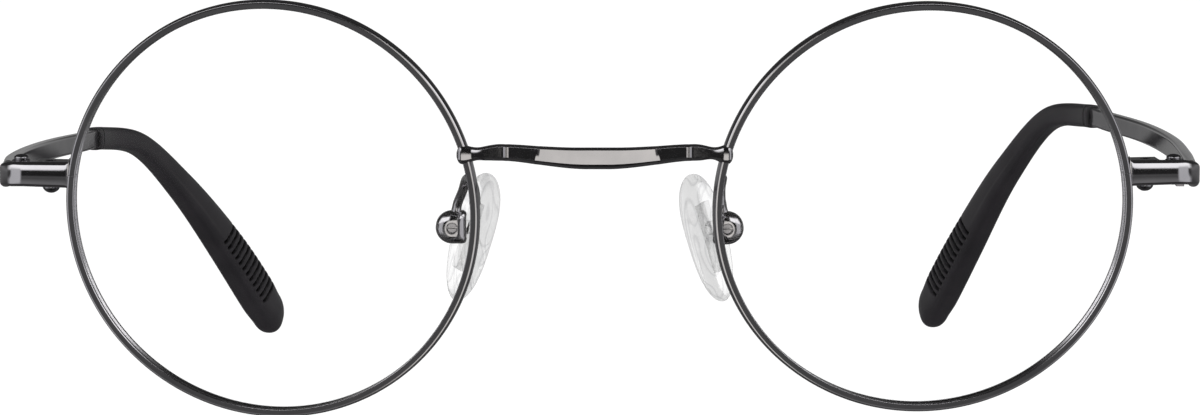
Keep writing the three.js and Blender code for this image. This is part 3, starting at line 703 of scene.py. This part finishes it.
def nose_pad(side):
    """A drop-shaped cushion, fuller towards the nose, a little wider above and bent over its length."""
    count, widening, bend, thin_end = 56, 0.1, 0.35, 0.06
    away_share, nose_share = 0.32, 0.68
    rings = []
    for angle in evenly(-1.55, 1.55, count):
        share = math.sin(angle)
        full = max(0.0, 1 - abs(share) ** 2.6) ** 0.5
        half = PAD_WIDTH / 2 * full * (1 + widening * share)
        depth = PAD_THICKNESS * lerp(thin_end, 1, full)
        ring = []
        for i in range(count):
            turn = 2 * math.pi * i / count
            x = half * math.cos(turn) - bend * share * share
            z = (away_share if math.sin(turn) > 0 else nose_share) * math.sin(turn) * depth
            ring.append(Vector((x, share * PAD_LENGTH / 2, z)))
        rings.append(ring)
    place = pad_place(side) @ Matrix.Translation(PAD_FROM_PIVOT) @ pad_basis()
    return make_object(f"{side}_silicone_pad", [loft(rings)], place, 60)


def box_outline(inset):
    """The pad box seen from in front: round away from the nose, square towards it."""
    radius, nasal = BOX_RADIUS - inset, BOX_NASAL - inset
    corner = min(0.45, nasal * 0.8)
    outline = [(radius * math.cos(a), radius * math.sin(a)) for a in evenly(-math.pi / 2, math.pi / 2, 24)]
    for quarter, sign in ((1, 1), (2, -1)):
        for a in evenly(quarter * math.pi / 2, (quarter + 1) * math.pi / 2, 5):
            x = -nasal + corner + corner * math.cos(a)
            z = sign * (radius - corner) + corner * math.sin(a)
            outline.append((x, z))
    return outline


def slab(outlines):
    """A shell through (y, outline) pairs of (x, z) points."""
    return loft([[Vector((x, y, z)) for x, z in outline] for y, outline in outlines])


def pad_box(side):
    """Pillow-edged front and back, with a mouth for the pad's tab and a seat for the screw head."""
    half, mouth_half, seat_radius, seat_depth = BOX_DEPTH / 2, 0.6, 0.62, 1.2
    angles = evenly(0.12, math.pi / 2 - 0.3, 12)
    rounded = [(-half * math.cos(a), 1.15 * (1 - math.sin(a)) ** 1.3) for a in angles]
    rounded += [(-y, inset) for y, inset in reversed(rounded)]
    place = pad_place(side)
    box = make_object(f"{side}_pad_cup", [slab([(y, box_outline(inset)) for y, inset in rounded])], place)
    mouth = block((-2.4, -mouth_half, -1.25), (1.05, mouth_half, 1.25))
    box = carve(box, make_object("mouth", [mouth], place))
    bore = turned([(0, 0), (seat_radius, 0), (seat_radius, seat_depth), (0, seat_depth)])
    seat = moved(bore, Matrix.Translation((0, -0.62, 0)) @ Matrix.Rotation(math.pi / 2, 4, "X"))
    return carve(box, make_object("seat", [seat], place))


def pad_screw(side):
    shank, head, under_head = 0.45, 0.58, 1.7
    profile = [(0, 0), (shank, 0), (shank, under_head), (head, under_head)]
    profile += [(head, 1.86), (0.5, 1.96), (0, 2.0)]
    place = pad_place(side) @ Matrix.Translation((0, 1.2, 0)) @ Matrix.Rotation(math.pi / 2, 4, "X")
    return slotted(f"{side}_pad_bolt", profile, 0.18, 1.82, 3, place)


def pad_arm(side):
    """A wire from the back of the eyewire, up over a hoop and down into the box."""
    pivot = to_front(side, PIVOT[side])
    shift = pivot.x - PAD_ARM_BENT_FOR
    box_top = pivot.z + BOX_RADIUS
    up = Vector((0, 1, 0.3))
    path = Path([
        Vector((12.75, -1.65, 0.6)),
        Vector((12.8, -1.62, 2.1)),
        Vector((13.15 + 0.1 * shift, -0.7, 3.0)),
        Vector((13.7 + 0.4 * shift, 1.2, 2.8)),
        Vector((14.15 + 0.8 * shift, 3.0, 1.3)),
        Vector((pivot.x - 0.55, pivot.y - 0.1, box_top + 0.6)),
        Vector((pivot.x - 0.4, pivot.y, box_top - 0.5)),
    ])
    rings = []
    for far in evenly(0, path.length, 60):
        swell = 0.18 * smooth_step(far, 2.2, 0) + 0.22 * smooth_step(far, path.length - 0.9, path.length)
        outline = soft_outline(PAD_WIRE + swell, PAD_WIRE + swell, 2, 20)
        rings.append(ring_at(path.at(far), path.tangent(far), outline, up))
    return make_object(f"{side}_pad_wire", [loft(rings)], front_place(side))


# ---- materials ----


def add_node(tree, kind, inputs=None, **settings):
    made = tree.nodes.new(kind)
    for key, value in settings.items():
        setattr(made, key, value)
    for key, value in (inputs or {}).items():
        if isinstance(value, bpy.types.NodeSocket):
            tree.links.new(value, made.inputs[key])
        else:
            made.inputs[key].default_value = value
    return made


def new_material(name):
    material = bpy.data.materials.new(name)
    material.use_nodes = True
    material.node_tree.nodes.clear()
    return material, material.node_tree


def shade(tree, shader):
    output = tree.nodes.new("ShaderNodeOutputMaterial")
    tree.links.new(shader, output.inputs["Surface"])


def ramp(tree, value, stops):
    """A colour ramp over (position, colour or brightness) stops."""
    made = add_node(tree, "ShaderNodeValToRGB", {"Fac": value})
    elements = made.color_ramp.elements
    while len(elements) < len(stops):
        elements.new(0.5)
    for element, (position, colour) in zip(elements, stops):
        element.position = position
        element.color = (*colour, 1) if isinstance(colour, tuple) else (colour, colour, colour, 1)
    return made.outputs["Color"]


def calculate(tree, operation, a, b=0.0):
    return add_node(tree, "ShaderNodeMath", {0: a, 1: b}, operation=operation).outputs["Value"]


def product(tree, first, *others):
    for other in others:
        first = calculate(tree, "MULTIPLY", first, other)
    return first


def fade(tree, value, start, end):
    """How far value has come from start (0) to end (1), held outside them; end may be the lower one."""
    rising = end > start
    inputs = {"Value": value, "From Min": min(start, end), "From Max": max(start, end)}
    inputs.update({"To Min": 0.0 if rising else 1.0, "To Max": 1.0 if rising else 0.0})
    return add_node(tree, "ShaderNodeMapRange", inputs).outputs["Result"]


def layered(tree, under, over, amount):
    inputs = {"Fac": amount, "Color1": under, "Color2": over}
    return add_node(tree, "ShaderNodeMixRGB", inputs).outputs["Color"]


def noise(tree, scale_mm, detail=3, stretch=(1, 1, 1)):
    """Noise with features about scale_mm across."""
    coordinates = tree.nodes.new("ShaderNodeTexCoord").outputs["Object"]
    mapping = add_node(tree, "ShaderNodeMapping", {"Vector": coordinates, "Scale": stretch})
    inputs = {"Vector": mapping.outputs["Vector"], "Scale": 1 / (scale_mm * MM), "Detail": detail}
    return add_node(tree, "ShaderNodeTexNoise", inputs).outputs["Fac"]


def bump(tree, height, depth_mm, normal=None):
    inputs = {"Height": height, "Strength": 1.0, "Distance": depth_mm * MM}
    if normal:
        inputs["Normal"] = normal
    return add_node(tree, "ShaderNodeBump", inputs).outputs["Normal"]


def plated_metal(name, dark, light, roughness, edge_mm=0.05):
    """Polished plating: clouded colour, a smudged polish and softened edges."""
    material, tree = new_material(name)
    clouds = noise(tree, 3.5, 4)
    smudges = noise(tree, 0.9, 5)
    polish = noise(tree, 0.06, 2, (1, 1, 6))
    edges = add_node(tree, "ShaderNodeBevel", {"Radius": edge_mm * MM}, samples=4).outputs["Normal"]
    inputs = {
        "Base Color": ramp(tree, clouds, [(0.3, dark), (0.7, light)]),
        "Metallic": 1.0,
        "Roughness": ramp(tree, smudges, [(0.3, roughness), (0.8, roughness * 1.5)]),
        "Normal": bump(tree, polish, 0.0006, edges),
    }
    shade(tree, add_node(tree, "ShaderNodeBsdfPrincipled", inputs).outputs["BSDF"])
    return material


def satin_plastic():
    """The moulded tip: near black, with a fine grain and a soft sheen, and painted shade inside its
    grooves, where ambient occlusion darkens the colour and dims the gloss.
    """
    material, tree = new_material("tip_plastic")
    grain = noise(tree, 0.12, 3)
    clouds = noise(tree, 5, 3)
    colour = ramp(tree, clouds, [(0.3, (0.010, 0.009, 0.011)), (0.7, (0.016, 0.014, 0.017))])
    # painted shade: ambient occlusion darkens the grooves' colour and weakens their gloss
    occlusion = add_node(tree, "ShaderNodeAmbientOcclusion", {"Distance": 0.8 * MM}, samples=8)
    openness = occlusion.outputs["AO"]
    painted_groove_shade = fade(tree, openness, 0.9, 0.6)
    inputs = {
        "Base Color": layered(tree, colour, (0.002, 0.002, 0.002, 1), painted_groove_shade),
        "Roughness": ramp(tree, grain, [(0.2, 0.30), (0.8, 0.42)]),
        "Specular IOR Level": product(tree, fade(tree, openness, 0.6, 0.9), 0.45),
        "Normal": bump(tree, grain, 0.004),
    }
    shade(tree, add_node(tree, "ShaderNodeBsdfPrincipled", inputs).outputs["BSDF"])
    return material


def clear_material(name, through_and_edge_shade, glaze, cloud_mm, rough, ripple_mm=0.01, streak=0):
    """Clear stuff: mostly see-through, greyer where it is seen edge-on as painted shade along the outline,
    with a gloss on top.

    through_and_edge_shade is how much comes through face-on, slanted and edge-on; the lower edge-on value
    is painted shade. Streaks are thin grey bands.
    """
    material, tree = new_material(name)
    clouds = noise(tree, cloud_mm, 3)
    facing = add_node(tree, "ShaderNodeLayerWeight", {"Blend": 0.35}).outputs["Facing"]
    # painted shade: the colour let through falls to the edge-on value where the surface is seen edge-on,
    # drawing a darker outline
    colour = ramp(tree, facing, [(0.0, through_and_edge_shade[0]), (0.75, through_and_edge_shade[1]), (1.0, through_and_edge_shade[2])])
    if streak:
        # thin grey bands laid over the colour along stretched noise
        streak_noise = noise(tree, 2.2 * cloud_mm, 0, (1, 1, 0.5))
        bands = [(0.44, 0.0), (0.47, streak), (0.50, 0.0), (0.56, 0.0), (0.58, streak), (0.62, 0.0)]
        colour = layered(tree, colour, (0.35, 0.35, 0.37, 1), ramp(tree, streak_noise, bands))
    through = add_node(tree, "ShaderNodeBsdfTransparent", {"Color": colour}).outputs["BSDF"]
    normal = bump(tree, clouds, ripple_mm)
    gloss_inputs = {"Color": (1, 1, 1, 1), "Roughness": rough, "Normal": normal}
    gloss = add_node(tree, "ShaderNodeBsdfAnisotropic", gloss_inputs).outputs["BSDF"]
    fresnel = add_node(tree, "ShaderNodeFresnel", {"IOR": 1.42, "Normal": normal}).outputs["Fac"]
    mix_inputs = {"Fac": product(tree, fresnel, glaze), 1: through, 2: gloss}
    shade(tree, add_node(tree, "ShaderNodeMixShader", mix_inputs).outputs["Shader"])
    return material


# ---- studio ----


def by_height(tree, height, stops):
    """A ramp over the upward part of a direction, from (upward part, brightness) pairs."""
    return ramp(tree, fade(tree, height, -1.0, 1.0), [((z + 1) / 2, value) for z, value in stops])


FRONT_BANDS = [
    (-1.0, 0.03), (-0.8, 0.05), (-0.62, 0.24), (-0.5, 0.3), (-0.3, 0.12), (-0.2, 0.15), (-0.16, 0.03),
    (0.10, 0.03), (0.17, 2.0), (0.6, 2.2), (0.72, 0.4), (0.82, 0.04), (1.0, 0.03),
]
BACK_BANDS = [
    (-1.0, 0.08), (-0.3, 0.10), (-0.08, 0.2), (0.0, 0.2), (0.05, 0.25), (0.1, 0.3),
    (0.15, 0.2), (0.2, 0.1), (0.35, 0.05), (1.0, 0.04),
]
DARK_COLUMN = (0.02, 0.02, 0.02, 1)
SIDE_WINDOW = (0.9, 0.9, 0.92, 1)
CENTRE_CARD = (1.28, 1.25, 1.18, 1)


def studio_world():
    """White all round for the camera and for soft light; pale cards in the dark for polished metal."""
    world = bpy.data.worlds.new("studio")
    bpy.context.scene.world = world
    world.use_nodes = True
    tree = world.node_tree
    tree.nodes.clear()
    direction = tree.nodes.new("ShaderNodeTexCoord").outputs["Generated"]
    parts = add_node(tree, "ShaderNodeSeparateXYZ", {"Vector": direction}).outputs
    up = parts["Z"]
    across = calculate(tree, "ABSOLUTE", parts["X"])
    in_front = fade(tree, parts["Y"], 0.1, -0.1)
    back, front = by_height(tree, up, BACK_BANDS), by_height(tree, up, FRONT_BANDS)
    colour = layered(tree, back, front, in_front)
    in_centre = product(tree, fade(tree, across, 0.2, 0.15), in_front)
    colour = layered(tree, colour, DARK_COLUMN, in_centre)
    wide = product(tree, fade(tree, across, 0.46, 0.58), fade(tree, across, 0.995, 0.96))
    high = product(tree, fade(tree, up, 0.25, 0.15), fade(tree, up, -0.6, -0.45))
    colour = layered(tree, colour, SIDE_WINDOW, product(tree, wide, high, in_front))
    high = product(tree, fade(tree, up, 0.06, 0.0), fade(tree, up, -0.6, -0.5))
    colour = layered(tree, colour, CENTRE_CARD, product(tree, in_centre, high))
    polished = add_node(tree, "ShaderNodeBackground", {"Color": colour, "Strength": 1.0})
    plain = add_node(tree, "ShaderNodeBackground", {"Color": (1, 1, 1, 1), "Strength": 1.0})
    is_glossy = tree.nodes.new("ShaderNodeLightPath").outputs["Is Glossy Ray"]
    inputs = {"Fac": is_glossy, 1: plain.outputs["Background"], 2: polished.outputs["Background"]}
    choice = add_node(tree, "ShaderNodeMixShader", inputs)
    output = tree.nodes.new("ShaderNodeOutputWorld")
    tree.links.new(choice.outputs["Shader"], output.inputs["Surface"])


def studio_floor():
    """Pale paper that polished metal doesn't see."""
    half = 20
    data = bpy.data.meshes.new("floor")
    corners = [(-half, -half), (half, -half), (half, half), (-half, half)]
    data.from_pydata([(x, y, FLOOR_Z * MM) for x, y in corners], [], [(0, 1, 2, 3)])
    floor = bpy.data.objects.new("floor", data)
    bpy.context.scene.collection.objects.link(floor)
    floor.visible_glossy = False
    material, tree = new_material("floor_paper")
    inputs = {
        "Base Color": (0.3, 0.3, 0.3, 1),
        "Roughness": 0.9,
        "Emission Color": (1, 1, 1, 1),
        "Emission Strength": 0.75,
    }
    shade(tree, add_node(tree, "ShaderNodeBsdfPrincipled", inputs).outputs["BSDF"])
    data.materials.append(material)


def studio_camera():
    """In front of the nose, a little above it, looking slightly down."""
    distance, height, aside, pitch = 540, math.radians(2.5), 0.26, math.radians(2.5)
    sensor_width, focal_length = 36, 155.2
    data = bpy.data.cameras.new("camera")
    data.sensor_width = sensor_width
    data.lens = focal_length
    data.clip_start = 0.01
    data.clip_end = 100
    camera = bpy.data.objects.new("camera", data)
    bpy.context.scene.collection.objects.link(camera)
    place = FRONT_ORIGIN + Vector((aside, -distance * math.cos(height), distance * math.sin(height)))
    camera.location = place * MM
    camera.rotation_euler = (math.pi / 2 - pitch, 0, 0)
    bpy.context.scene.camera = camera


# ---- assembly ----


def dress(piece, body, material, slot, *nodes):
    """Gives a new piece its material, its body and the CAD nodes it stands for; the slot, its finish name,
    is not used.
    """
    piece.data.materials.clear()
    piece.data.materials.append(material)
    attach(piece, body)
    if nodes:
        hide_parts(*nodes)


def dress_node(node, material):
    for slot in frame["nodes"][node].material_slots:
        slot.link = "OBJECT"
        slot.material = material


def build():
    gunmetal = plated_metal("gunmetal", (0.36, 0.355, 0.37), (0.43, 0.42, 0.435), 0.07)
    hinge_metal = plated_metal("hinge_metal", (0.25, 0.24, 0.26), (0.32, 0.31, 0.33), 0.2)
    screw_steel = plated_metal("screw_steel", (0.22, 0.215, 0.23), (0.3, 0.295, 0.31), 0.14, 0.03)
    tip = satin_plastic()
    clear = clear_material("clear_lens", (1.0, 0.99, 0.97), 0.12, 8, 0.02)
    silicone = clear_material(
        "pad_silicone", (0.985, 0.955, 0.76), 0.32, 1.3, 0.1, ripple_mm=0.06, streak=0.25
    )
    insert = clear_material("pad_insert", (0.95, 0.92, 0.84), 0.3, 0.6, 0.2)
    dress(bridge(), "front", gunmetal, "frame_metal", "bridge")
    for side in MIRROR:
        arm = f"{side}_temple_arm"
        path = temple_path(side)
        dress(eyewire(side), "front", gunmetal, "frame_metal", f"{side}_rim")
        dress(lens(side), "front", clear, "clear_lens", f"{side}_lens")
        dress(endpiece(side), "front", gunmetal, "frame_metal", f"{side}_endpiece")
        dress(front_hinge(side), "front", hinge_metal, "hinge_metal", f"{side}_hinge_front")
        dress(hinge_screw(side), "front", screw_steel, "screw_steel", f"{side}_hinge_screw")
        dress(lock_screw(side), "front", screw_steel, "screw_steel", f"{side}_rim_lock_screw")
        dress(pad_arm(side), "front", gunmetal, "frame_metal", f"{side}_pad_arm")
        dress(pad_box(side), "front", gunmetal, "frame_metal", f"{side}_pad_box")
        dress(pad_screw(side), "front", screw_steel, "screw_steel", f"{side}_pad_screw")
        dress(nose_pad(side), f"{side}_pad", silicone, "pad_silicone", f"{side}_nose_pad")
        dress(temple_bar(side, path), arm, gunmetal, "frame_metal", f"{side}_temple")
        dress(rear_hinge(side, path), arm, hinge_metal, "hinge_metal", f"{side}_hinge_rear")
        dress(temple_tip(side, path), arm, tip, "tip_plastic", f"{side}_temple_tip")
        dress_node(f"{side}_rim_lock_upper", gunmetal)
        dress_node(f"{side}_rim_lock_lower", gunmetal)
        dress_node(f"{side}_pad_insert", insert)


build()
studio_world()
studio_floor()
studio_camera()
bpy.context.scene.view_settings.view_transform = "Standard"
